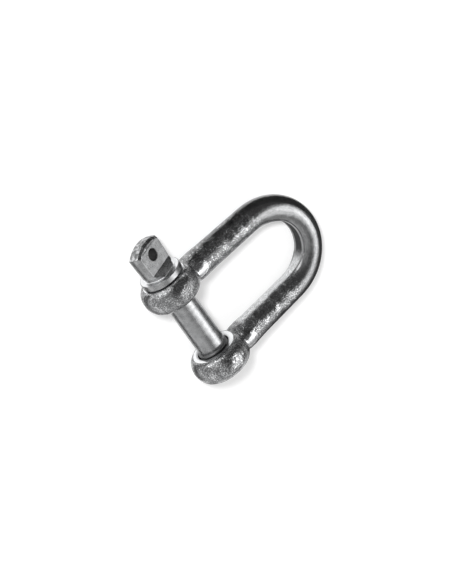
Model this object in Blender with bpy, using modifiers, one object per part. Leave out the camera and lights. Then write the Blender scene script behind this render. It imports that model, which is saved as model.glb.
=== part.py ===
"""Forged dee shackle with a screw pin, for joining two lengths of chain.

Two pieces: the bow, a round bar bent to a dee and flared into an eye at each end, and the
pin, with a flat holed head, a neck, a collar, a plain shank and a threaded end. The shackle
lies on its side, on the rims of both eyes and the underside of the crown. The pin lies along
Y with its head at +Y, and the legs run from the eyes towards +X.
"""

import math

import bmesh
import bpy
from mathutils import Matrix, Vector

MM = 0.001

# Driving dimensions of the bow, in millimetres
JAW_WIDTH = 24.0             # between the inner faces of the eyes
INSIDE_LENGTH = 44.6         # from the pin's shank to the inner wall of the crown
LEG_DIAMETER = 10.8          # of the round legs where they run into the eyes
BEND_DIAMETER = 10.3         # the legs thin towards the bend
CROWN_DIAMETER = 10.4        # in the middle of the crown
CROWN_HALF_SPAN = 16.0       # from the middle to the bar's centreline where the bend starts
CROWN_RISE = 16.8            # of the bend's centreline, along the legs
EYE_WIDTH = 10.0
EYE_DIAMETER = 22.4
EYE_FACE_DIAMETER = 16.6     # of the flat face on each side of an eye
EYE_RIM_SWEEP = math.radians(78)  # how far the eye's rim has turned towards the face at its edge
FLARE_LENGTH = 7.0           # of the leg's swelling in front of the eye
FLARE_GROWTH = 1.1           # added to the leg's half height where it enters the eye
SIDE_TUCK = 0.4              # how far the leg's sides end under the eye's faces
BORE_CHAMFER = 0.7

# The inner side of the bend is pressed flat round the former, and the flat fades down the legs
CROWN_FLAT_HALF = 3.3        # half height of the flat wall in the crown
LEG_FLAT_HALF = 1.7          # where the bend runs out into the legs
EYE_FLAT_HALF = 1.2          # at the eyes
FORMER_ANGLE = math.radians(42)   # the former's own flat covers this much each side of the middle
FORMER_STEP = 0.2            # and stands this much deeper than the rest

# Driving dimensions of the pin, in millimetres
SHANK_DIAMETER = 10.9        # the blank for a rolled thread
THREAD_DIAMETER = 12.0       # outer diameter of the thread, drawn plain
THREAD_START = 1.7           # the thread begins this far inside the jaw
THREAD_CHAMFER = 1.0
TIP_STAND_OUT = 1.0          # of the pin's end, past the threaded eye
COLLAR_DIAMETER = 16.0
COLLAR_THICKNESS = 2.3
COLLAR_CHAMFER = 0.3
NECK_DIAMETER = 11.5
NECK_LENGTH = 1.0            # from the collar to the cone under the head
NECK_FILLET = 0.5
HEAD_FOOT_DIAMETER = 12.5
HEAD_WAIST_DIAMETER = 13.1   # the head's side widens quickly up to here
HEAD_WAIST_HEIGHT = 4.3      # above its foot
HEAD_DIAMETER = 13.6
HEAD_LENGTH = 9.7            # from its foot to the corner where the dome starts
DOME_RADIUS = 13.0
HEAD_THICKNESS = 5.7         # between the two flats
FLAT_START = 2.4             # the flats end this far above the collar, in a sloping shoulder
HEAD_HOLE_DIAMETER = 4.4
HEAD_HOLE_HEIGHT = 7.9       # of the hole's centre above the collar
HOLE_CHAMFER = 0.2
PIN_TURN = math.radians(23)  # how far the flats are turned from the plane of the bow

# Clearances
PIN_CLEARANCE = 0.3          # round the thread in both bores
SEAT_GAP = 0.3               # between the collar and the eye that it bears on

# Mesh fineness
TURN_STEPS = 56
ROUND_STEPS = 24
FLAT_STEPS = 4
CROWN_RINGS = 36
LEG_RINGS = 12
LEG_RING_CROWDING = 1.4      # the rings lie closer together towards the eye
BULGE_STEPS = 12
DOME_STEPS = 6
FILLET_STEPS = 3
CREASE_ANGLE = math.radians(28)   # edges sharper than this are shaded as edges
CUT_PAST = 1.0               # how far a cutter reaches past the surface that it cuts, in millimetres

# What follows from the driving dimensions
CROWN_RADIUS = CROWN_DIAMETER / 2
EYE_RADIUS = EYE_DIAMETER / 2
SHANK_RADIUS = SHANK_DIAMETER / 2
THREAD_RADIUS = THREAD_DIAMETER / 2
BORE_RADIUS = THREAD_RADIUS + PIN_CLEARANCE
EYE_MIDDLE = (JAW_WIDTH + EYE_WIDTH) / 2
OUTER_FACE = JAW_WIDTH / 2 + EYE_WIDTH
CROWN_WALL = math.sqrt(CROWN_RADIUS ** 2 - CROWN_FLAT_HALF ** 2) - FORMER_STEP
CROWN_APEX = SHANK_RADIUS + INSIDE_LENGTH + CROWN_WALL
BEND_START = CROWN_APEX - CROWN_RISE
COLLAR_BASE = OUTER_FACE + SEAT_GAP
COLLAR_TOP = COLLAR_BASE + COLLAR_THICKNESS
NECK_TOP = COLLAR_TOP + NECK_LENGTH
HEAD_FOOT = NECK_TOP + abs(HEAD_FOOT_DIAMETER - NECK_DIAMETER) / 2
HEAD_CORNER = HEAD_FOOT + HEAD_LENGTH
DOME_CENTRE = HEAD_CORNER - math.sqrt(DOME_RADIUS ** 2 - (HEAD_DIAMETER / 2) ** 2)
HEAD_END = DOME_CENTRE + DOME_RADIUS
PIN_TIP = -OUTER_FACE - TIP_STAND_OUT

# The shackle rests on the eyes' rims and on the crown, so the bow slopes down to the crown
REST_TILT = math.asin((EYE_RADIUS - CROWN_RADIUS) / CROWN_APEX)
CROWN_REACH = CROWN_APEX * math.cos(REST_TILT) + CROWN_RADIUS
PIN_AXIS = Vector((
    -(CROWN_REACH - EYE_RADIUS) / 2,
    -(HEAD_END + PIN_TIP) / 2,
    EYE_RADIUS,
)) * MM


def clear_scene():
    for obj in list(bpy.data.objects):
        bpy.data.objects.remove(obj, do_unlink=True)


def new_collection(name):
    collection = bpy.data.collections.new(name)
    bpy.context.scene.collection.children.link(collection)
    return collection


def add_object(name, mesh, collection, material=None):
    obj = bpy.data.objects.new(name, mesh)
    collection.objects.link(obj)
    if material:
        mesh.materials.append(material)
    return obj


def mark_cutter(obj):
    obj.hide_render = True
    obj.display_type = 'WIRE'
    return obj


def steel(name, colour, roughness, metallic):
    material = bpy.data.materials.new(name)
    material.use_nodes = True
    shader = material.node_tree.nodes["Principled BSDF"]
    shader.inputs["Base Color"].default_value = (*colour, 1.0)
    shader.inputs["Roughness"].default_value = roughness
    shader.inputs["Metallic"].default_value = metallic
    return material


def turned(name, profile, collection, material=None):
    """Body of revolution about its own Z, from (radius, height) points listed from the top down."""
    mesh = bpy.data.meshes.new(name)
    points = [(radius * MM, 0.0, height * MM) for radius, height in profile]
    edges = [(i, i + 1) for i in range(len(points) - 1)]
    mesh.from_pydata(points, edges, [])
    obj = add_object(name, mesh, collection, material)
    screw = obj.modifiers.new("Turn", 'SCREW')
    screw.steps = TURN_STEPS
    screw.render_steps = TURN_STEPS
    screw.use_merge_vertices = True
    screw.merge_threshold = 0.00001
    screw.use_smooth_shade = True
    return obj


def plate(name, outline, thickness, collection):
    """Flat plate of the outline in its own XY plane, made from a filled curve."""
    curve = bpy.data.curves.new(name, 'CURVE')
    curve.dimensions = '2D'
    curve.fill_mode = 'BOTH'
    curve.extrude = thickness / 2 * MM
    spline = curve.splines.new('POLY')
    spline.points.add(len(outline) - 1)
    for point, (x, y) in zip(spline.points, outline):
        point.co = (x * MM, y * MM, 0.0, 1.0)
    spline.use_cyclic_u = True
    source = bpy.data.objects.new(name + "_curve", curve)
    collection.objects.link(source)
    evaluated = source.evaluated_get(bpy.context.evaluated_depsgraph_get())
    mesh = bpy.data.meshes.new_from_object(evaluated)
    bm = bmesh.new()
    bm.from_mesh(mesh)
    bmesh.ops.remove_doubles(bm, verts=bm.verts, dist=0.000001)
    bmesh.ops.recalc_face_normals(bm, faces=bm.faces)
    bm.to_mesh(mesh)
    bm.free()
    obj = add_object(name, mesh, collection)
    obj.matrix_world = source.matrix_world
    bpy.data.objects.remove(source, do_unlink=True)
    return obj


def combine(target, operand, operation):
    boolean = target.modifiers.new(operation.title() + " " + operand.name, 'BOOLEAN')
    boolean.operation = operation
    boolean.solver = 'EXACT'
    boolean.object = operand


def smooth_blend(value):
    value = min(max(value, 0.0), 1.0)
    return value * value * (3 - 2 * value)


def mix(low, high, share):
    return low + (high - low) * share


def bend_limit():
    """Angle on the bend's ellipse at which a straight leg, run on to the eye, meets it."""
    low, high = math.radians(60), math.radians(90)
    for _ in range(40):
        angle = (low + high) / 2
        lean = CROWN_HALF_SPAN * math.cos(angle) / (CROWN_RISE * math.sin(angle))
        reach = BEND_START + CROWN_RISE * math.cos(angle)
        at_eye = CROWN_HALF_SPAN * math.sin(angle) + lean * reach
        if at_eye > EYE_MIDDLE:
            low = angle
        else:
            high = angle
    return angle


def bow_stations():
    """Stations along the bar from the pin's head side: centre, inward direction and section."""
    limit = bend_limit()
    bend_point = Vector((BEND_START + CROWN_RISE * math.cos(limit), CROWN_HALF_SPAN * math.sin(limit)))
    eye_point = Vector((0.0, EYE_MIDDLE))
    leg = (bend_point - eye_point).normalized()
    leg_inward = Vector((leg.y, -leg.x))
    face_radius = EYE_FACE_DIAMETER / 2
    bore_side = BORE_RADIUS - BORE_CHAMFER
    half = []
    for i in range(LEG_RINGS):
        share = i / LEG_RINGS
        along = mix(bore_side, bend_point.x, share ** LEG_RING_CROWDING)
        centre = eye_point + leg * (along / leg.x)
        taper = min((bend_point.x - along) / (bend_point.x - EYE_RADIUS), 1.0)
        radius = mix(BEND_DIAMETER, LEG_DIAMETER, taper) / 2
        flare = smooth_blend((EYE_RADIUS + FLARE_LENGTH - along) / FLARE_LENGTH)
        tuck = smooth_blend((EYE_RADIUS - along) / (EYE_RADIUS - face_radius))
        half_width = mix(radius, EYE_WIDTH / 2 - SIDE_TUCK, tuck)
        half_height = radius + FLARE_GROWTH * flare
        flat_half = mix(EYE_FLAT_HALF, LEG_FLAT_HALF, share)
        half.append((centre, leg_inward, half_width, half_height, flat_half, 0.0))
    crown = []
    for i in range(CROWN_RINGS + 1):
        angle = mix(limit, -limit, i / CROWN_RINGS)
        centre = Vector((BEND_START + CROWN_RISE * math.cos(angle), CROWN_HALF_SPAN * math.sin(angle)))
        tangent = Vector((CROWN_RISE * math.sin(angle), -CROWN_HALF_SPAN * math.cos(angle))).normalized()
        inward = Vector((tangent.y, -tangent.x))
        bent = smooth_blend((limit - abs(angle)) / (limit - FORMER_ANGLE))
        radius = mix(BEND_DIAMETER, CROWN_DIAMETER, bent) / 2
        flat_half = mix(LEG_FLAT_HALF, CROWN_FLAT_HALF, bent)
        step = FORMER_STEP if abs(angle) < FORMER_ANGLE else 0.0
        crown.append((centre, inward, radius, radius, flat_half, step))
    mirrored = [(Vector((c.x, -c.y)), Vector((n.x, -n.y)), w, h, f, s) for c, n, w, h, f, s in reversed(half)]
    return half + crown + mirrored


def section_ring(station):
    """Corners of one section: a round bar whose inner side is pressed flat."""
    centre, inward, half_width, half_height, flat_half, step = station
    edge = math.asin(flat_half / half_height)
    corners = []
    for i in range(ROUND_STEPS + 1):
        angle = mix(edge, 2 * math.pi - edge, i / ROUND_STEPS)
        corners.append((math.cos(angle) * half_width, math.sin(angle) * half_height))
    wall = math.cos(edge) * half_width - step
    corners[0] = (wall, flat_half)
    corners[-1] = (wall, -flat_half)
    for i in range(1, FLAT_STEPS):
        corners.append((wall, mix(-flat_half, flat_half, i / FLAT_STEPS)))
    return [
        Vector((centre.x + inward.x * depth, centre.y + inward.y * depth, height)) * MM
        for depth, height in corners
    ]


def bent_bar(name, collection, material):
    """The bar as one loft through its sections, closed by a cap inside each eye."""
    bm = bmesh.new()
    rings = [[bm.verts.new(corner) for corner in section_ring(s)] for s in bow_stations()]
    for ring, following in zip(rings, rings[1:]):
        for i in range(len(ring)):
            j = (i + 1) % len(ring)
            bm.faces.new((ring[i], following[i], following[j], ring[j]))
    bm.faces.new(reversed(rings[0]))
    bm.faces.new(rings[-1])
    bmesh.ops.recalc_face_normals(bm, faces=bm.faces)
    mesh = bpy.data.meshes.new(name)
    bm.to_mesh(mesh)
    bm.free()
    mesh.shade_smooth()
    mesh.set_sharp_from_angle(angle=CREASE_ANGLE)
    return add_object(name, mesh, collection, material)


def eye_blank(name, collection):
    """A flat-faced barrel: its rim is part of one ellipse from face to face."""
    face_radius = EYE_FACE_DIAMETER / 2
    half_width = EYE_WIDTH / 2
    rim_depth = (EYE_RADIUS - face_radius) / (1 - math.cos(EYE_RIM_SWEEP))
    rim_reach = half_width / math.sin(EYE_RIM_SWEEP)
    rim = []
    for i in range(BULGE_STEPS + 1):
        angle = mix(EYE_RIM_SWEEP, -EYE_RIM_SWEEP, i / BULGE_STEPS)
        radius = EYE_RADIUS - rim_depth * (1 - math.cos(angle))
        rim.append((radius, rim_reach * math.sin(angle)))
    profile = [(0.0, half_width), *rim, (0.0, -half_width)]
    return mark_cutter(turned(name, profile, collection))


def bore_cutter(name, radius, length, chamfer, collection):
    """Cutter for a hole with a chamfer at each of its two mouths."""
    half = length / 2
    flared = radius + chamfer + CUT_PAST
    profile = [
        (0.0, half + CUT_PAST),
        (flared, half + CUT_PAST),
        (radius, half - chamfer),
        (radius, -half + chamfer),
        (flared, -half - CUT_PAST),
        (0.0, -half - CUT_PAST),
    ]
    return mark_cutter(turned(name, profile, collection))


def make_bow(parts, cutters, frame, material):
    bow = bent_bar("shackle_bow", parts, material)
    bow.parent = frame
    for side, label in ((1, "plain"), (-1, "threaded")):
        blank = eye_blank(label + "_eye_blank", cutters)
        bore = bore_cutter(label + "_eye_bore", BORE_RADIUS, EYE_WIDTH, BORE_CHAMFER, cutters)
        for tool in (blank, bore):
            tool.parent = frame
            tool.location = (0.0, side * EYE_MIDDLE * MM, 0.0)
            tool.rotation_euler = (math.radians(-90), 0.0, 0.0)
        combine(bow, blank, 'UNION')
        combine(bow, bore, 'DIFFERENCE')
    return bow


def pin_profile():
    """The pin's outline from the top of its domed head down to its threaded tip."""
    shank_end = -JAW_WIDTH / 2 + THREAD_START
    run_out = THREAD_RADIUS - SHANK_RADIUS
    corner = math.asin(HEAD_DIAMETER / 2 / DOME_RADIUS)
    dome = []
    for i in range(DOME_STEPS + 1):
        angle = corner * i / DOME_STEPS
        dome.append((DOME_RADIUS * math.sin(angle), DOME_CENTRE + DOME_RADIUS * math.cos(angle)))
    fillet = []
    for i in range(FILLET_STEPS + 1):
        angle = math.radians(90) * i / FILLET_STEPS
        fillet.append((
            NECK_DIAMETER / 2 + NECK_FILLET * (1 - math.cos(angle)),
            COLLAR_TOP + NECK_FILLET * (1 - math.sin(angle)),
        ))
    return [
        *dome,
        (HEAD_WAIST_DIAMETER / 2, HEAD_FOOT + HEAD_WAIST_HEIGHT),
        (HEAD_FOOT_DIAMETER / 2, HEAD_FOOT),
        (NECK_DIAMETER / 2, NECK_TOP),
        *fillet,
        (COLLAR_DIAMETER / 2 - COLLAR_CHAMFER, COLLAR_TOP),
        (COLLAR_DIAMETER / 2, COLLAR_TOP - COLLAR_CHAMFER),
        (COLLAR_DIAMETER / 2, COLLAR_BASE + COLLAR_CHAMFER),
        (COLLAR_DIAMETER / 2 - COLLAR_CHAMFER, COLLAR_BASE),
        (SHANK_RADIUS, COLLAR_BASE),
        (SHANK_RADIUS, shank_end + run_out),
        (THREAD_RADIUS, shank_end),
        (THREAD_RADIUS, PIN_TIP + THREAD_CHAMFER),
        (THREAD_RADIUS - THREAD_CHAMFER, PIN_TIP),
        (0.0, PIN_TIP),
    ]


def flat_cutter(name, side, collection):
    """Block that cuts one flat of the head and the shoulder sloping up from it to the neck."""
    flat = HEAD_THICKNESS / 2
    start = COLLAR_TOP + FLAT_START
    outside = HEAD_DIAMETER
    rise = outside - flat
    shoulder_foot = min(rise, FLAT_START)
    outline = [
        (flat, start),
        (flat + shoulder_foot, start - shoulder_foot),
        (outside, start - shoulder_foot),
        (outside, HEAD_END + CUT_PAST),
        (flat, HEAD_END + CUT_PAST),
    ]
    cutter = mark_cutter(plate(name, outline, HEAD_DIAMETER + 2 * CUT_PAST, collection))
    cutter.rotation_euler = (math.radians(90), 0.0, math.radians(90) * side)
    return cutter


def make_pin(parts, cutters, frame, material):
    axis = bpy.data.objects.new("pin_axis", None)
    parts.objects.link(axis)
    axis.parent = frame
    axis.rotation_mode = 'QUATERNION'
    axis.rotation_quaternion = (
        Matrix.Rotation(PIN_TURN, 3, 'Y') @ Matrix.Rotation(math.radians(-90), 3, 'X')
    ).to_quaternion()
    pin = turned("screw_pin", pin_profile(), parts, material)
    pin.parent = axis
    for side, label in ((1, "upper"), (-1, "lower")):
        cutter = flat_cutter(label + "_head_flat", side, cutters)
        cutter.parent = axis
        combine(pin, cutter, 'DIFFERENCE')
    hole = bore_cutter("head_hole", HEAD_HOLE_DIAMETER / 2, HEAD_THICKNESS, HOLE_CHAMFER, cutters)
    hole.parent = axis
    hole.location = (0.0, 0.0, (COLLAR_TOP + HEAD_HOLE_HEIGHT) * MM)
    hole.rotation_euler = (math.radians(90), 0.0, 0.0)
    combine(pin, hole, 'DIFFERENCE')
    return pin


def main():
    clear_scene()
    parts = new_collection("chain_joining_shackle")
    cutters = new_collection("cutters")
    forged = steel("forged_bow", (0.42, 0.43, 0.44), 0.42, 0.9)
    plated = steel("plated_pin", (0.58, 0.59, 0.60), 0.32, 0.95)
    frame = bpy.data.objects.new("bow_frame", None)
    parts.objects.link(frame)
    frame.location = PIN_AXIS
    frame.rotation_euler = (0.0, REST_TILT, 0.0)
    make_bow(parts, cutters, frame, forged)
    make_pin(parts, cutters, frame, plated)


main()
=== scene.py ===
"""Looks of the chain joining shackle: its forged bow, its turned pin, and the studio that they are seen in.

Lengths are in millimetres and angles in degrees unless a comment says otherwise. The shackle's own frame has its
origin on the pin's axis, midway between the eyes: X from the pin towards the crown, Y along the pin towards its
head, Z out of the plane of the bow. In the row frame the bow leans by REST_TILT until it lies on the floor.
"""

import math

import bmesh
import bpy
from mathutils import Matrix, Vector, noise


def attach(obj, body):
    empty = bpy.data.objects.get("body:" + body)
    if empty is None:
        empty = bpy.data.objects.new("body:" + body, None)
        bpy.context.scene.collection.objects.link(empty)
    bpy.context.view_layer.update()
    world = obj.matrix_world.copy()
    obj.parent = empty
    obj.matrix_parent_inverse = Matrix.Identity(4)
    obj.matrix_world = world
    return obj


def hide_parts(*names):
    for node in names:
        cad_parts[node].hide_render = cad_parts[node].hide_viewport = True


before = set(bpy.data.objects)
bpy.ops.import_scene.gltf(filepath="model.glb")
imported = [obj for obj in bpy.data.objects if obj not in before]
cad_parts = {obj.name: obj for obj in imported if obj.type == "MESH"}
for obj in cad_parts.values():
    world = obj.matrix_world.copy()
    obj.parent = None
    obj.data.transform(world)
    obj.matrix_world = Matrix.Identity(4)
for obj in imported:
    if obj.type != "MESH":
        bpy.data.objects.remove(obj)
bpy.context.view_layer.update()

MM = 0.001

# Places, as part.py works them out
REST_TILT = 6.394983
PIN_AXIS = Vector((-23.76676, -7.36014, 11.2))
PIN_TURN = 23.0               # how far the head's flats are turned from the plane of the bow

# Eyes of the bow
BORE_RADIUS = 6.3
EYE_MIDDLE = 17.0             # of both eyes, from the middle of the jaw
EYE_HALF_WIDTH = 5.0
EYE_FACE_RADIUS = 8.3         # of the flat face on each side of an eye
FACE_MARGIN = 0.2             # how far from a flat face the skin still counts as part of it
BORE_MARGIN = 0.1             # and from the wall of a bore
TAPPED_CREST = 6.12           # radius of the threaded eye's own thread, clear of the pin's
TAPPED_ROOT = 6.9
TAPPED_SLEEVE = 7.4           # how far out the eye is filled up behind that thread
SLEEVE_COLUMNS = 96
SLEEVE_ROWS = 80

# Legs and crown of the bow
CROWN_CENTRE = 37.0           # of the bend's ellipse, from the pin
CROWN_DEPTH = 16.8            # from that centre to the middle of the bar, at the crown
CROWN_HALF_SPAN = 16.0        # and at the legs
BAR_RADIUS = 5.2
HIGHLIGHT_PATCH_PLACE = (10.8, 17.2, 6.4)    # middle of the smooth patch at each leg's root that carries a painted highlight
HIGHLIGHT_PATCH_RADIUS = 2.5
HIGHLIGHT_PATCH_STRETCH = 0.65           # the patch is longer along the leg by one over this
FORMER_REACH = 0.80           # of the wall pressed against the former, as a share of the bend's ellipse
FORMER_HALF = 2.1
FORMER_FADE = 1.0             # half the length over which the wall's look comes in
FORMER_START = 13.0           # the wall carries a painted reflection from here,
WALL_SHADE_START = 44.0            # and near-black painted shade on it from here,
WALL_SHADE_FULL = 48.0             # and all over it from here
WALL_SHADE_RAGGEDNESS = 6.0        # width of the painted shade's ragged edge

# Skin of the bow
WELD_DISTANCE = 0.001         # corners of the CAD's mesh closer than this are one
SKIN_STEP = 0.3               # side of a face
SKIN_SOFTENING = 3            # rounds of smoothing, which take the sharpness off the edges
DENT_LENGTH = 4.5             # of the shallow hollows that the forging dies leave
DENT_DEPTH = 0.05
PIT_LENGTH = 1.1              # of the pits where forging scale was
PIT_DEPTH = 0.035
PIT_FALLOFF = 0.8
PIT_LACUNARITY = 2.0
PIT_OCTAVES = 2
ROUGH_END = 34.0              # the legs are rough up to here,
CALM_START = 42.0             # and the bend, worked over the former, is calmer from here,
CALM = 0.75                   # by this share

# Pin, from its threaded tip to its head
PIN_TIP = -23.0
TIP_RADIUS = 5.0
THREAD_RADIUS = 6.0
THREAD_CREST = 5.97
THREAD_ROOT = 5.05
THREAD_PITCH = 1.75
THREAD_START = -10.3
THREAD_FLAT = 0.2             # of half a pitch, at the crest and at the root
THREAD_ROUNDING = 0.4         # 0 for straight flanks, 1 for flanks curved all the way
RUN_OUT = 1.0                 # length within which the thread's blank slopes down to the shank
SHANK_RADIUS = 5.45
COLLAR_BASE = 22.3
COLLAR_TOP = 24.6
COLLAR_RADIUS = 8.0
NECK_RADIUS = 5.75
NECK_TOP = 25.6
HEAD_FOOT = 26.1
HEAD_FOOT_RADIUS = 6.25
HEAD_WAIST = 30.4
HEAD_WAIST_RADIUS = 6.55
HEAD_CORNER = 35.8
HEAD_RADIUS = 6.8
DOME_RADIUS = 13.0
DOME_CENTRE = HEAD_CORNER - math.sqrt(DOME_RADIUS ** 2 - HEAD_RADIUS ** 2)
DOME_BEVEL = 0.75             # of the dome's edge along each flat
FLAT_START = 27.0
FLAT_HALF = 2.85
FLAT_SOFTNESS = 0.35          # reach of the rounding where the flats meet the round head
HOLE_RADIUS = 2.2
HOLE_CHAMFER = 0.2
HOLE_CENTRE = 32.5
CUTTER_OVERHANG = 1.0         # how far the hole's cutter sticks out of each flat
SMALL_ROUNDING = 0.2
COLLAR_ROUNDING = 0.35
WIDE_ROUNDING = 0.5
ROUNDING_STEPS = 6
DOME_ROWS = 36
PIN_COLUMNS = 192
ON_AXIS = 0.0001              # a smaller radius makes a single point
THREAD_ROW = 0.0875           # length of a row of faces in the thread
PIN_ROW = 0.2                 # and elsewhere
HOLE_COLUMNS = 64
HOLE_MARGIN = 0.02            # how far off the hole's wall a face still counts as part of it
SHARP_ANGLE = 35.0            # edges bent by more than this stay sharp

# Materials. Greys are linear, and a pair belongs to the low and the high end of a noise
NOISE_SPAN = (0.35, 0.65)     # where most values of a noise lie
ZINC_TINT = (0.99, 1.0, 1.012)
SPECKLE_SHARE = 0.75          # of the forging's mottle, against its blotches
MOTTLE_GREYS = ((0.37, 0.07), (0.47, 0.19), (0.56, 0.36), (0.64, 0.85))
MOTTLE_ROUGHNESS = (0.30, 0.16)
# painted highlight on the smooth patches at the legs' roots
HIGHLIGHT_PATCH_GREYS = (0.34, 0.5)
# painted reflection: the inner wall along the legs is made lighter
WALL_REFLECTION_SPAN = (0.4, 0.55)
WALL_REFLECTION_GREYS = (0.3, 0.8)
# painted shade on the inner wall in the bend: near black, rough, not metallic and barely specular, so that it
# reflects little
WALL_SHADE_GREYS = (0.02, 0.06)
WALL_SHADE_ROUGHNESS = 0.65
WALL_SHADE_SPECULAR = 0.1
# painted highlight: the eyes' ground faces are made near white, standing in for the bright floor they reflect
FACE_HIGHLIGHT_GREY = 0.95
GROUND_ROUGHNESS = 0.16
# painted shade: the walls of the bores are made dark
BORE_SHADE_GREY = 0.10
PATCH_SPAN = (0.42, 0.56)
PATCH_RELIEF = (0.25, 1.0)
TURNED_GREYS = ((0.3, 0.26), (0.5, 0.33), (0.7, 0.40))
TURNED_ROUGHNESS = (0.24, 0.36)
TURNING_STRETCH = (0.15, 1.0, 0.15)    # draws a noise out round the pin into turning marks
DOME_GREYS = ((0.36, 0.16), (0.5, 0.28), (0.62, 0.55))
GRAIN_RELIEF = (0.3, 1.0)     # of the fine grain, on the turned part and on the dome
DOME_EDGE = (HEAD_CORNER - 0.3, HEAD_CORNER + 0.1)
DULL_END = THREAD_START + 0.2         # the thread is dull up to here
THREAD_SHADE = 0.5            # its grey, as a share of the shank's
THREAD_ROUGHNESS = 0.5
COLLAR_HIGHLIGHT_GREY = 0.85            # painted highlight on the collar's face towards the head
COLLAR_HIGHLIGHT_RADIUS = COLLAR_RADIUS - 0.3
# painted shade in the head's hole: near black, partly metallic and rough
HOLE_SHADE_GREYS = ((0.3, 0.02), (0.7, 0.06))
HOLE_SHADE_SPAN = (0.3, 0.7)
HOLE_SHADE_ROUGHNESS = (0.5, 0.7)
HOLE_SHADE_METALLIC = 0.6

# Studio
FLOOR_RADIUS = 4.0            # in metres
FLOOR_COLUMNS = 96
FLOOR_GREY = 0.8
FLOOR_GLOW = 0.3              # added for camera, glossy and transmission rays, so that the floor is white to them
FLOOR_LEVEL = 0.62            # even light of the world on the floor, so that only the lamp throws a shadow
ROOM_LEVEL = 0.13             # of the world between the windows, in reflections
# azimuth, elevation, half angle of full strength, half angle where it has faded out, strength
WINDOWS = (
    (40, 46, 10, 28, 1.6),
    (70, 40, 10, 25, 2.5),
    (-157, 7, 13, 26, 3.2),
    (-85, 22, 25, 70, 0.6),
    (-145, 42, 10, 35, 0.15),
    (-32, 8, 10, 32, 0.45),
    (-18, 45, 25, 60, 0.2),
    (20, 28, 15, 40, 0.4),
)
LAMP_AZIMUTH = -160
LAMP_ELEVATION = 53
LAMP_DISTANCE = 1.0           # in metres
LAMP_SIZE = 0.16              # in metres
LAMP_POWER = 6.8              # in watts
CROWN_CARD_GAP = 6.0          # between the bow and the dark card round it
CROWN_CARD_HEIGHT = 13.0
CROWN_CARD_GREY = 0.14
CROWN_CARD_STEPS = 48
CROWN_CARD_SPLAY = 0.8        # how fast the card leaves the leg on the head's side
CROWN_CARD_END = -12.0        # where it stops beside the other leg
EYE_CARD_LINE = ((-16.0, -24.0), (-16.0, 34.0))
EYE_CARD_HEIGHT = 10.5
EYE_CARD_GREY = 0.45

# Camera, solved from the outlines of the eyes, legs and pin in the photograph
CAMERA_PLACE = Vector((-158.541, 393.509, 773.931))
CAMERA_RIGHT = Vector((0.75099, -0.51263, 0.41621))
CAMERA_UP = Vector((0.63759, 0.72691, -0.25512))
CAMERA_LENS = 152.02
CAMERA_SENSOR = 36.0
CAMERA_CLIP = (0.05, 20.0)    # in metres

scene = bpy.context.scene


def bow_to_row():
    """Matrix from the shackle's own frame, in millimetres, to the row frame, in metres."""
    lean = Matrix.Rotation(math.radians(REST_TILT), 4, 'Y')
    return Matrix.Scale(MM, 4) @ Matrix.Translation(PIN_AXIS) @ lean


def pin_to_row():
    """The same for the pin, whose Z is square to the head's flats."""
    return bow_to_row() @ Matrix.Rotation(math.radians(PIN_TURN), 4, 'Y')


def smooth_step(value, start, end):
    share = min(max((value - start) / (end - start), 0.0), 1.0)
    return share * share * (3.0 - 2.0 * share)


def put(name, data):
    """Adds an object to the scene."""
    made = bpy.data.objects.new(name, data)
    scene.collection.objects.link(made)
    return made


def add_piece(name, mesh, body, node):
    """Puts a visible piece in the scene, in place of a CAD node, on the body that carries it."""
    piece = put(name, mesh)
    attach(piece, body)
    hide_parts(node)
    return piece


def with_modifiers(mesh, *settings):
    """The mesh that comes out of a stack of modifiers, each given as (type, {setting: value})."""
    holder = put("holder", mesh)
    for kind, values in settings:
        modifier = holder.modifiers.new(kind, kind)
        for key, value in values.items():
            setattr(modifier, key, value)
    evaluated = holder.evaluated_get(bpy.context.evaluated_depsgraph_get())
    result = bpy.data.meshes.new_from_object(evaluated)
    bpy.data.objects.remove(holder)
    return result


def finished(work, name):
    """The mesh of a bmesh, which is freed."""
    mesh = bpy.data.meshes.new(name)
    work.to_mesh(mesh)
    work.free()
    return mesh


def ring_of(work, columns, point):
    """Ring of vertices, at the points that a function gives for the angles round it."""
    return [work.verts.new(point(2 * math.pi * i / columns)) for i in range(columns)]


def bridge(work, low, high):
    """Joins two rings of vertices with faces. Either ring may be a single vertex."""
    for i in range(max(len(low), len(high))):
        corners = (
            low[i % len(low)], low[(i + 1) % len(low)],
            high[(i + 1) % len(high)], high[i % len(high)],
        )
        work.faces.new(tuple(dict.fromkeys(corners)))


def on_axis(along, radius, angle):
    """Point at a radius and an angle round the pin's axis."""
    return Vector((radius * math.sin(angle), along, radius * math.cos(angle)))


def ridge(along, angle):
    """Height of a thread at a place along the pin and an angle round it, from 0 to 1."""
    turn = (along / THREAD_PITCH - angle / (2 * math.pi)) % 1.0
    rise = (1 - abs(2 * turn - 1) - THREAD_FLAT) / (1 - 2 * THREAD_FLAT)
    straight = min(max(rise, 0.0), 1.0)
    return straight + (smooth_step(straight, 0.0, 1.0) - straight) * THREAD_ROUNDING


# Bow

def tapped_radius(along, angle):
    """Radius of the threaded eye's bore, with the thread in it."""
    return TAPPED_CREST + (TAPPED_ROOT - TAPPED_CREST) * ridge(along, angle)


def add_tapped_sleeve(work):
    """Adds a closed sleeve that fills the threaded eye's bore up to a thread cut in it."""
    to_row = bow_to_row()
    rows = [EYE_HALF_WIDTH * (2 * row / SLEEVE_ROWS - 1) - EYE_MIDDLE for row in range(SLEEVE_ROWS + 1)]
    rings = [
        ring_of(work, SLEEVE_COLUMNS, lambda angle: to_row @ on_axis(along, tapped_radius(along, angle), angle))
        for along in rows
    ]
    rings += [
        ring_of(work, SLEEVE_COLUMNS, lambda angle: to_row @ on_axis(along, TAPPED_SLEEVE, angle))
        for along in (rows[-1], rows[0])
    ]
    for low, high in zip(rings, rings[1:] + rings[:1]):
        bridge(work, low, high)


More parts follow.
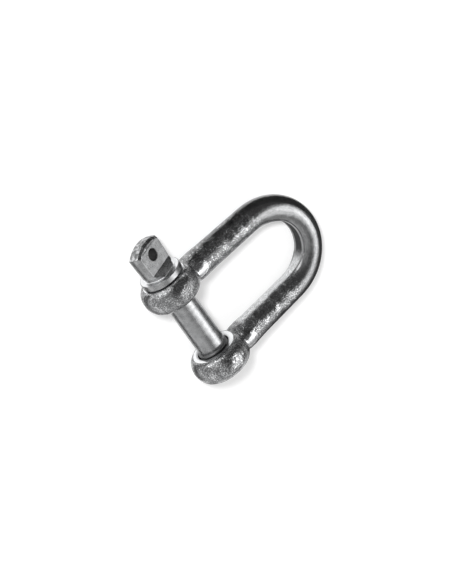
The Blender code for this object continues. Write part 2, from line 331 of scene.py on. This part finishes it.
def forged_skin(node):
    """An even, softened skin over a CAD node, with the thread in the eye."""
    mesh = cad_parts[node].data.copy()
    work = bmesh.new()
    work.from_mesh(mesh)
    bmesh.ops.remove_doubles(work, verts=work.verts, dist=WELD_DISTANCE * MM)
    add_tapped_sleeve(work)
    bmesh.ops.recalc_face_normals(work, faces=work.faces)
    work.to_mesh(mesh)
    work.free()
    return with_modifiers(
        mesh,
        ('REMESH', {"mode": 'VOXEL', "voxel_size": SKIN_STEP * MM, "use_smooth_shade": True}),
        ('SMOOTH', {"factor": 0.5, "iterations": SKIN_SOFTENING}),
    )


def roughen(mesh):
    """Moves the forging's skin in and out by fractions of a millimetre, more on the legs than in the bend."""
    to_bow = bow_to_row().inverted()
    moves = []
    for vertex in mesh.vertices:
        place = to_bow @ vertex.co
        rough = 1.0 - CALM * smooth_step(place.x, ROUGH_END, CALM_START)
        off_face = abs(abs(abs(place.y) - EYE_MIDDLE) - EYE_HALF_WIDTH)
        if off_face < FACE_MARGIN and math.hypot(place.x, place.z) < EYE_FACE_RADIUS:
            rough = 0.0
        dents = noise.noise(place / DENT_LENGTH) * DENT_DEPTH
        pits = noise.fractal(place / PIT_LENGTH, PIT_FALLOFF, PIT_LACUNARITY, PIT_OCTAVES) * PIT_DEPTH
        moves.append(vertex.normal * ((dents + pits) * rough * MM))
    for vertex, move in zip(mesh.vertices, moves):
        vertex.co += move
    mesh.update()


def make_bow():
    mesh = forged_skin("shackle_bow")
    roughen(mesh)
    mesh.shade_smooth()
    return add_piece("forged_shackle_bow", mesh, "bow", "shackle_bow")


# Pin

def rounded(corners):
    """Outline through corners given as (along, radius, rounding), with curves in place of the sharp corners."""
    outline = []
    for i, (along, radius, rounding) in enumerate(corners):
        here = Vector((along, radius))
        if rounding == 0:
            outline.append(here)
            continue
        before = (Vector(corners[i - 1][:2]) - here).normalized()
        after = (Vector(corners[i + 1][:2]) - here).normalized()
        for step in range(ROUNDING_STEPS + 1):
            share = step / ROUNDING_STEPS
            outline.append(here + before * (rounding * (1 - share) ** 2) + after * (rounding * share ** 2))
    return outline


def pin_outline():
    """(along, radius) from the middle of the tip to the middle of the domed head."""
    outline = rounded([
        (PIN_TIP, 0.0, 0),
        (PIN_TIP, TIP_RADIUS, SMALL_ROUNDING),
        (PIN_TIP + THREAD_RADIUS - TIP_RADIUS, THREAD_RADIUS, 0),
        (THREAD_START - THREAD_RADIUS + SHANK_RADIUS, THREAD_RADIUS, 0),
        (THREAD_START, SHANK_RADIUS, SMALL_ROUNDING),
        (COLLAR_BASE, SHANK_RADIUS, SMALL_ROUNDING),
        (COLLAR_BASE, COLLAR_RADIUS, COLLAR_ROUNDING),
        (COLLAR_TOP, COLLAR_RADIUS, COLLAR_ROUNDING),
        (COLLAR_TOP, NECK_RADIUS, WIDE_ROUNDING),
        (NECK_TOP, NECK_RADIUS, SMALL_ROUNDING),
        (HEAD_FOOT, HEAD_FOOT_RADIUS, SMALL_ROUNDING),
        (HEAD_WAIST, HEAD_WAIST_RADIUS, WIDE_ROUNDING),
        (HEAD_CORNER, HEAD_RADIUS, 0),
    ])
    corner = math.asin(HEAD_RADIUS / DOME_RADIUS)
    for row in range(1, DOME_ROWS + 1):
        angle = corner * (1 - row / DOME_ROWS)
        outline.append(Vector((
            DOME_CENTRE + DOME_RADIUS * math.cos(angle),
            DOME_RADIUS * math.sin(angle),
        )))
    return outline


def even_rows(outline):
    """The outline with points added, so that no two lie further apart than a row of the mesh."""
    rows = [outline[0]]
    for start, end in zip(outline, outline[1:]):
        in_thread = end.x <= THREAD_START and end.y > TIP_RADIUS - SMALL_ROUNDING / 2
        step = THREAD_ROW if in_thread else PIN_ROW
        count = max(1, math.ceil((end - start).length / step))
        rows += [start.lerp(end, i / count) for i in range(1, count + 1)]
    return rows


def threaded(along, radius, angle):
    """Radius of the pin at an angle, with the rolled thread in its end."""
    if along > THREAD_START or radius < TIP_RADIUS:
        return radius
    cut = THREAD_ROOT + (THREAD_CREST - THREAD_ROOT) * ridge(along, angle)
    started = smooth_step(THREAD_START - along, 0.0, THREAD_PITCH)
    cut = SHANK_RADIUS + (cut - SHANK_RADIUS) * started
    running_out = along > THREAD_START - RUN_OUT
    limit = radius + THREAD_RADIUS - SHANK_RADIUS if running_out else radius
    return min(cut, limit)


def flattened(sideways, along, across):
    """Squeezes a point of the round head in between its two flats and the bevels above them."""
    if along <= COLLAR_TOP:
        return across
    edge = DOME_CENTRE + math.sqrt(max(DOME_RADIUS ** 2 - FLAT_HALF ** 2 - sideways ** 2, 0.0))
    half = FLAT_HALF + max(0.0, FLAT_START - along) - max(0.0, along - edge + DOME_BEVEL)
    reach = abs(across)
    overlap = max(FLAT_SOFTNESS - abs(reach - half), 0.0) / FLAT_SOFTNESS
    return math.copysign(min(reach, half) - overlap * overlap * FLAT_SOFTNESS / 4, across)


def pin_point(along, radius, angle):
    """Point on the pin, with its thread and its flattened head."""
    reach = threaded(along, radius, angle)
    sideways = reach * math.sin(angle)
    return sideways, along, flattened(sideways, along, reach * math.cos(angle))


def turned_pin():
    work = bmesh.new()
    rings = []
    for along, radius in even_rows(pin_outline()):
        if radius < ON_AXIS:
            rings.append([work.verts.new((0.0, along, 0.0))])
        else:
            rings.append(ring_of(work, PIN_COLUMNS, lambda angle: pin_point(along, radius, angle)))
    for low, high in zip(rings, rings[1:]):
        bridge(work, low, high)
    bmesh.ops.recalc_face_normals(work, faces=work.faces)
    return finished(work, "turned_pin")


def head_hole_cutter():
    """Cutter through both flats, wider where it opens out into their chamfers."""
    mouth = HOLE_RADIUS + HOLE_CHAMFER + CUTTER_OVERHANG
    profile = (
        (-FLAT_HALF - CUTTER_OVERHANG, mouth),
        (-FLAT_HALF + HOLE_CHAMFER, HOLE_RADIUS),
        (FLAT_HALF - HOLE_CHAMFER, HOLE_RADIUS),
        (FLAT_HALF + CUTTER_OVERHANG, mouth),
    )
    work = bmesh.new()
    rings = [
        ring_of(work, HOLE_COLUMNS, lambda angle: (
            radius * math.cos(angle), HOLE_CENTRE + radius * math.sin(angle), across,
        ))
        for across, radius in profile
    ]
    for low, high in zip(rings, rings[1:]):
        bridge(work, low, high)
    work.faces.new(rings[0])
    work.faces.new(rings[-1])
    bmesh.ops.recalc_face_normals(work, faces=work.faces)
    return put("head_hole", finished(work, "head_hole"))


def darken_hole(mesh):
    """Gives the wall of the head's hole its own material, the second one, which paints shade into it."""
    from_row = pin_to_row().inverted()
    for face in mesh.polygons:
        centre = from_row @ face.center
        off_centre = math.hypot(centre.x, centre.y - HOLE_CENTRE)
        if off_centre < HOLE_RADIUS + HOLE_MARGIN and abs(centre.z) < FLAT_HALF:
            face.material_index = 1


def make_pin():
    cutter = head_hole_cutter()
    mesh = with_modifiers(
        turned_pin(),
        ('BOOLEAN', {"operation": 'DIFFERENCE', "solver": 'MANIFOLD', "object": cutter}),
    )
    bpy.data.objects.remove(cutter)
    mesh.transform(pin_to_row())
    darken_hole(mesh)
    mesh.shade_smooth()
    mesh.set_sharp_from_angle(angle=math.radians(SHARP_ANGLE))
    return add_piece("turned_screw_pin", mesh, "pin", "screw_pin")


# Materials

class Nodes:
    """Short calls for building a material's or the world's nodes."""

    def __init__(self, owner):
        owner.use_nodes = True
        self.tree = owner.node_tree
        self.tree.nodes.clear()

    def add(self, kind, inputs=None, **settings):
        node = self.tree.nodes.new(kind)
        for key, value in settings.items():
            setattr(node, key, value)
        for key, value in (inputs or {}).items():
            if isinstance(value, bpy.types.NodeSocket):
                self.tree.links.new(value, node.inputs[key])
            else:
                node.inputs[key].default_value = value
        return node

    def math(self, operation, first, second=0.0):
        return self.add("ShaderNodeMath", {0: first, 1: second}, operation=operation).outputs[0]

    def vector(self, operation, first, second):
        return self.add("ShaderNodeVectorMath", {0: first, 1: second}, operation=operation).outputs["Vector"]

    def product(self, first, *others):
        for other in others:
            first = self.math('MULTIPLY', first, other)
        return first

    def apart(self, value, place):
        """How far a value is from a place, on either side."""
        return self.math('ABSOLUTE', self.math('SUBTRACT', value, place))

    def own_place(self):
        """The point on the surface in the shackle's own frame, in millimetres."""
        node = self.add("ShaderNodeMapping", {
            "Vector": self.add("ShaderNodeTexCoord").outputs["Object"],
            "Location": PIN_AXIS * MM,
            "Rotation": (0.0, math.radians(REST_TILT), 0.0),
            "Scale": (MM, MM, MM),
        }, vector_type='TEXTURE')
        return node.outputs["Vector"]

    def split(self, vector):
        return self.add("ShaderNodeSeparateXYZ", {"Vector": vector}).outputs

    def joined(self, x, y, z):
        return self.add("ShaderNodeCombineXYZ", {"X": x, "Y": y, "Z": z}).outputs["Vector"]

    def length(self, vector, scale):
        """Length of a vector whose parts are scaled first."""
        scaled = self.vector('MULTIPLY', vector, scale)
        return self.add("ShaderNodeVectorMath", {0: scaled}, operation='LENGTH').outputs["Value"]

    def ranged(self, value, span, results, smooth=False):
        """Takes a value from the ends of a span to two results."""
        node = self.add("ShaderNodeMapRange", {
            "Value": value, "From Min": span[0], "From Max": span[1],
            "To Min": results[0], "To Max": results[1],
        }, interpolation_type='SMOOTHSTEP' if smooth else 'LINEAR')
        return node.outputs["Result"]

    def below(self, value, limit, softness):
        """1 where a value is below the limit, 0 above it."""
        return self.ranged(value, (limit - softness, limit + softness), (1.0, 0.0), smooth=True)

    def above(self, value, start, end):
        """0 where a value is below the start, 1 above the end."""
        return self.ranged(value, (start, end), (0.0, 1.0), smooth=True)

    def mix(self, mask, outside, inside):
        return self.ranged(mask, (0.0, 1.0), (outside, inside))

    def zinc(self, grey):
        """Colour of a grey, a little cooler than neutral."""
        node = self.add("ShaderNodeVectorMath", {0: ZINC_TINT, "Scale": grey}, operation='SCALE')
        return node.outputs["Vector"]

    def noise(self, coordinates, size, detail=3.0, roughness=0.5, distortion=0.0):
        """Noise whose features are about size millimetres across."""
        node = self.add("ShaderNodeTexNoise", {
            "Vector": coordinates, "Scale": 1 / size, "Detail": detail,
            "Roughness": roughness, "Distortion": distortion,
        })
        return node.outputs["Fac"]

    def greys(self, value, stops):
        """Grey ramp through (position, grey) stops."""
        node = self.add("ShaderNodeValToRGB", {"Fac": value})
        elements = node.color_ramp.elements
        while len(elements) < len(stops):
            elements.new(0.5)
        for element, (position, grey) in zip(elements, stops):
            element.position = position
            element.color = (grey, grey, grey, 1.0)
        return node.outputs["Color"]

    def bump(self, height, depth, normal=None):
        """Bump of a height from 0 to 1, depth millimetres deep."""
        inputs = {"Height": height, "Distance": depth * MM, "Strength": 1.0}
        if normal is not None:
            inputs["Normal"] = normal
        return self.add("ShaderNodeBump", inputs).outputs["Normal"]

    def principled(self, inputs):
        shader = self.add("ShaderNodeBsdfPrincipled", inputs)
        self.add("ShaderNodeOutputMaterial", {"Surface": shader.outputs["BSDF"]})


def bow_masks(n, place):
    """Masks of the bow's rough part, ground faces with their painted highlight, bores with painted shade, patches
    of painted highlight and the inner wall with painted reflection and shade.
    """
    split = n.split(place)
    x, y = split["X"], split["Y"]
    side, height = n.math('ABSOLUTE', y), n.math('ABSOLUTE', split["Z"])
    off_axis = n.length(place, (1.0, 0.0, 1.0))
    off_face = n.apart(n.apart(side, EYE_MIDDLE), EYE_HALF_WIDTH)
    from_highlight_patch = n.vector('SUBTRACT', n.joined(x, side, height), HIGHLIGHT_PATCH_PLACE)
    past_centre = n.math('MAXIMUM', n.math('SUBTRACT', x, CROWN_CENTRE), 0.0)
    in_bend = n.length(n.joined(past_centre, y, 0.0), (1 / CROWN_DEPTH, 1 / CROWN_HALF_SPAN, 0.0))
    return {
        "rough": n.ranged(x, (ROUGH_END, CALM_START), (1.0, 1.0 - CALM), smooth=True),
        "ground": n.product(
            n.below(off_face, FACE_MARGIN, softness=0.1),
            n.below(off_axis, EYE_FACE_RADIUS, softness=0.12),
        ),
        "bore": n.below(off_axis, BORE_RADIUS + BORE_MARGIN, softness=0.05),
        "highlight_patch": n.below(n.length(from_highlight_patch, (HIGHLIGHT_PATCH_STRETCH, 1.0, 1.0)), HIGHLIGHT_PATCH_RADIUS, softness=0.25),
        "wall": n.product(
            n.below(in_bend, FORMER_REACH, softness=0.01),
            n.below(height, FORMER_HALF, softness=0.3),
            n.above(x, FORMER_START - FORMER_FADE, FORMER_START + FORMER_FADE),
        ),
    }


def forged_steel():
    """Zinc over rough forged steel: pitted and mottled on the legs and eyes, smoother in the bend.

    The flat faces of the eyes are ground smooth and painted with a bright highlight, smooth patches at the roots
    of the legs carry a painted highlight, and the bores are painted with shade.
    The inner wall, pressed against the former, carries a painted reflection along the legs and near-black painted
    shade in the bend.
    """
    material = bpy.data.materials.new("forged_bow")
    n = Nodes(material)
    place = n.own_place()
    masks = bow_masks(n, place)
    speckle = n.noise(place, size=0.4, detail=3.0, roughness=0.65)
    blotch = n.noise(place, size=3.0, detail=2.0)
    pits = n.noise(place, size=0.9, detail=2.0, roughness=0.6, distortion=0.4)
    patches = n.noise(place, size=4.0, detail=1.0)

    # painted shade: mask of the near-black inner wall in the bend, with a ragged start
    sway = n.product(n.math('SUBTRACT', speckle, 0.5), WALL_SHADE_RAGGEDNESS)
    past_start = n.above(n.math('ADD', n.split(place)["X"], sway), WALL_SHADE_START, WALL_SHADE_FULL)
    scaled = n.product(masks["wall"], past_start)

    mottle = n.mix(masks["rough"], 0.5, n.mix(SPECKLE_SHARE, blotch, speckle))
    grey = n.greys(mottle, MOTTLE_GREYS)
    # painted highlight: the patches at the legs' roots are lighter and smooth
    grey = n.mix(masks["highlight_patch"], grey, n.ranged(speckle, NOISE_SPAN, HIGHLIGHT_PATCH_GREYS))
    # painted highlight on the eyes' ground faces
    grey = n.mix(masks["ground"], grey, FACE_HIGHLIGHT_GREY)
    # painted shade inside the bores
    grey = n.mix(masks["bore"], grey, BORE_SHADE_GREY)
    # painted reflection: the inner wall's grey is raised
    grey = n.mix(masks["wall"], grey, n.ranged(speckle, WALL_REFLECTION_SPAN, WALL_REFLECTION_GREYS))
    # painted shade: the inner wall in the bend is made near black
    grey = n.mix(scaled, grey, n.ranged(speckle, NOISE_SPAN, WALL_SHADE_GREYS))
    sheen = n.ranged(mottle, NOISE_SPAN, MOTTLE_ROUGHNESS)
    sheen = n.mix(masks["ground"], sheen, GROUND_ROUGHNESS)
    sheen = n.mix(scaled, sheen, WALL_SHADE_ROUGHNESS)

    uneven = n.math('SUBTRACT', 1.0, n.math('MAXIMUM', masks["ground"], masks["highlight_patch"]))
    patchy = n.ranged(patches, PATCH_SPAN, PATCH_RELIEF, smooth=True)
    relief = n.product(masks["rough"], patchy, uneven)
    grained = n.bump(n.product(speckle, relief), depth=0.13)
    pitted = n.bump(n.product(pits, relief), depth=0.08, normal=grained)
    n.principled({
        # the painted shade on the inner wall is not metallic and has a low specular level
        "Base Color": n.zinc(grey), "Metallic": n.math('SUBTRACT', 1.0, scaled),
        "Roughness": sheen, "Specular IOR Level": WALL_SHADE_SPECULAR, "Normal": pitted,
    })
    return material


def plated_steel():
    """Zinc over turned steel: turning marks round the shank, a light grain on the head, a dull thread, and a
    painted highlight on the collar's face.
    """
    material = bpy.data.materials.new("plated_pin")
    n = Nodes(material)
    place = n.own_place()
    along = n.split(place)["Y"]
    off_axis = n.length(place, (1.0, 0.0, 1.0))
    thread = n.below(along, DULL_END, softness=0.3)
    # mask of the painted highlight on the collar's face
    collar = n.product(
        n.below(n.apart(along, COLLAR_TOP), FACE_MARGIN, softness=0.1),
        n.below(off_axis, COLLAR_HIGHLIGHT_RADIUS, softness=0.1),
    )
    dome = n.above(along, *DOME_EDGE)
    marks = n.noise(n.vector('MULTIPLY', place, TURNING_STRETCH), size=0.25, detail=2.0)
    grain = n.noise(place, size=0.4, detail=3.0, roughness=0.6)
    dents = n.noise(place, size=1.3, detail=2.0, distortion=0.5)
    blotch = n.noise(place, size=2.5, detail=2.0)

    grey = n.mix(dome, n.greys(blotch, TURNED_GREYS), n.greys(dents, DOME_GREYS))
    grey = n.mix(thread, grey, n.product(grey, THREAD_SHADE))
    # painted highlight: the collar's face is made near white
    grey = n.mix(collar, grey, COLLAR_HIGHLIGHT_GREY)
    sheen = n.ranged(grain, NOISE_SPAN, TURNED_ROUGHNESS)
    sheen = n.mix(thread, sheen, THREAD_ROUGHNESS)

    surface = n.bump(marks, depth=0.006)
    surface = n.bump(n.product(grain, n.mix(dome, *GRAIN_RELIEF)), depth=0.06, normal=surface)
    surface = n.bump(n.product(dents, dome), depth=0.15, normal=surface)
    n.principled({"Base Color": n.zinc(grey), "Metallic": 1.0, "Roughness": sheen, "Normal": surface})
    return material


def shaded_hole_steel():
    """Painted shade in the hole of the head: near-black, rough, partly metallic steel."""
    material = bpy.data.materials.new("head_hole")
    n = Nodes(material)
    hole_noise = n.noise(n.own_place(), size=0.6)
    # painted shade: the hole's wall is made near black
    n.principled({
        "Base Color": n.greys(hole_noise, HOLE_SHADE_GREYS), "Metallic": HOLE_SHADE_METALLIC,
        "Roughness": n.ranged(hole_noise, HOLE_SHADE_SPAN, HOLE_SHADE_ROUGHNESS),
    })
    return material


def dress(piece, *materials):
    """Gives a piece its materials, and keeps each face's index of them."""
    indices = [face.material_index for face in piece.data.polygons]
    piece.data.materials.clear()
    for material in materials:
        piece.data.materials.append(material)
    piece.data.polygons.foreach_set("material_index", indices)


# Studio

def direction(azimuth, elevation):
    """Unit vector; azimuth 0 points along -Y and 90 along +X."""
    a, e = math.radians(azimuth), math.radians(elevation)
    return Vector((math.sin(a) * math.cos(e), -math.cos(a) * math.cos(e), math.sin(e)))


def make_world():
    """Dim room with bright windows in reflections, even light on all that is dull, and white for the camera."""
    world = bpy.data.worlds.new("studio")
    scene.world = world
    n = Nodes(world)
    ray = n.add("ShaderNodeTexCoord").outputs["Generated"]
    level = ROOM_LEVEL
    for azimuth, elevation, full, faded, strength in WINDOWS:
        towards = direction(azimuth, elevation)
        nearness = n.add("ShaderNodeVectorMath", {0: ray, 1: towards}, operation='DOT_PRODUCT').outputs["Value"]
        span = (math.cos(math.radians(faded)), math.cos(math.radians(full)))
        level = n.math('ADD', n.ranged(nearness, span, (0.0, strength), smooth=True), level)
    path = n.add("ShaderNodeLightPath").outputs
    level = n.mix(path["Is Glossy Ray"], FLOOR_LEVEL, level)
    level = n.mix(path["Is Camera Ray"], level, 1.0)
    background = n.add("ShaderNodeBackground", {"Color": (1.0, 1.0, 1.0, 1.0), "Strength": level})
    n.add("ShaderNodeOutputWorld", {"Surface": background.outputs["Background"]})


def make_floor():
    work = bmesh.new()
    bmesh.ops.create_circle(work, cap_ends=True, segments=FLOOR_COLUMNS, radius=FLOOR_RADIUS)
    floor = put("floor", finished(work, "floor"))
    material = bpy.data.materials.new("floor")
    n = Nodes(material)
    path = n.add("ShaderNodeLightPath").outputs
    seen = n.math('MAXIMUM', path["Is Camera Ray"], path["Is Glossy Ray"])
    seen = n.math('MAXIMUM', seen, path["Is Transmission Ray"])
    paper = n.add("ShaderNodeBsdfDiffuse", {"Color": (FLOOR_GREY, FLOOR_GREY, FLOOR_GREY, 1.0)})
    white = n.add("ShaderNodeEmission", {"Strength": n.product(seen, FLOOR_GLOW)})
    both = n.add("ShaderNodeAddShader", {0: paper.outputs["BSDF"], 1: white.outputs["Emission"]})
    n.add("ShaderNodeOutputMaterial", {"Surface": both.outputs["Shader"]})
    floor.data.materials.append(material)


def crown_card_line():
    """Line of the card from beside the head, round the crown and back along the other leg."""
    depth = CROWN_DEPTH + BAR_RADIUS + CROWN_CARD_GAP
    half_span = CROWN_HALF_SPAN + BAR_RADIUS + CROWN_CARD_GAP
    line = [(0.0, half_span + CROWN_CENTRE * CROWN_CARD_SPLAY)]
    for step in range(CROWN_CARD_STEPS + 1):
        angle = math.pi * (0.5 - step / CROWN_CARD_STEPS)
        line.append((CROWN_CENTRE + depth * math.cos(angle), half_span * math.sin(angle)))
    line.append((CROWN_CARD_END, -half_span))
    return line


def make_card(name, line, height, grey):
    """Strip of dark card on edge along a line, which gives the metal its dark edges. Only reflections see it."""
    to_row = bow_to_row()
    work = bmesh.new()
    edges = []
    for x, y in line:
        place = to_row @ Vector((x, y, 0.0))
        edges.append([work.verts.new((place.x, place.y, z)) for z in (0.0, height * MM)])
    for (foot, top), (next_foot, next_top) in zip(edges, edges[1:]):
        work.faces.new((foot, next_foot, next_top, top))
    card = put(name, finished(work, name))
    material = bpy.data.materials.new(name)
    n = Nodes(material)
    paper = n.add("ShaderNodeBsdfDiffuse", {"Color": (grey, grey, grey, 1.0)})
    n.add("ShaderNodeOutputMaterial", {"Surface": paper.outputs["BSDF"]})
    card.data.materials.append(material)
    card.visible_camera = False
    card.visible_diffuse = False
    card.visible_shadow = False


def make_lamp():
    data = bpy.data.lights.new("key", 'AREA')
    data.shape = 'DISK'
    data.size = LAMP_SIZE
    data.energy = LAMP_POWER
    towards = direction(LAMP_AZIMUTH, LAMP_ELEVATION)
    lamp = put("key", data)
    lamp.location = towards * LAMP_DISTANCE
    lamp.rotation_mode = 'QUATERNION'
    lamp.rotation_quaternion = towards.to_track_quat('Z', 'Y')
    lamp.visible_camera = False
    lamp.visible_glossy = False


def make_camera():
    data = bpy.data.cameras.new("camera")
    data.sensor_fit = 'AUTO'
    data.sensor_width = CAMERA_SENSOR
    data.lens = CAMERA_LENS
    data.clip_start, data.clip_end = CAMERA_CLIP
    camera = put("camera", data)
    back = CAMERA_RIGHT.cross(CAMERA_UP)
    turn = Matrix((CAMERA_RIGHT, CAMERA_UP, back)).transposed()
    camera.rotation_mode = 'QUATERNION'
    camera.rotation_quaternion = turn.to_quaternion()
    camera.location = CAMERA_PLACE * MM
    scene.camera = camera


scene.view_settings.view_transform = 'Standard'
make_camera()
make_world()
make_floor()
make_card("crown_card", crown_card_line(), CROWN_CARD_HEIGHT, CROWN_CARD_GREY)
make_card("eye_card", EYE_CARD_LINE, EYE_CARD_HEIGHT, EYE_CARD_GREY)
make_lamp()
bow = make_bow()
pin = make_pin()
dress(bow, forged_steel())
dress(pin, plated_steel(), shaded_hole_steel())
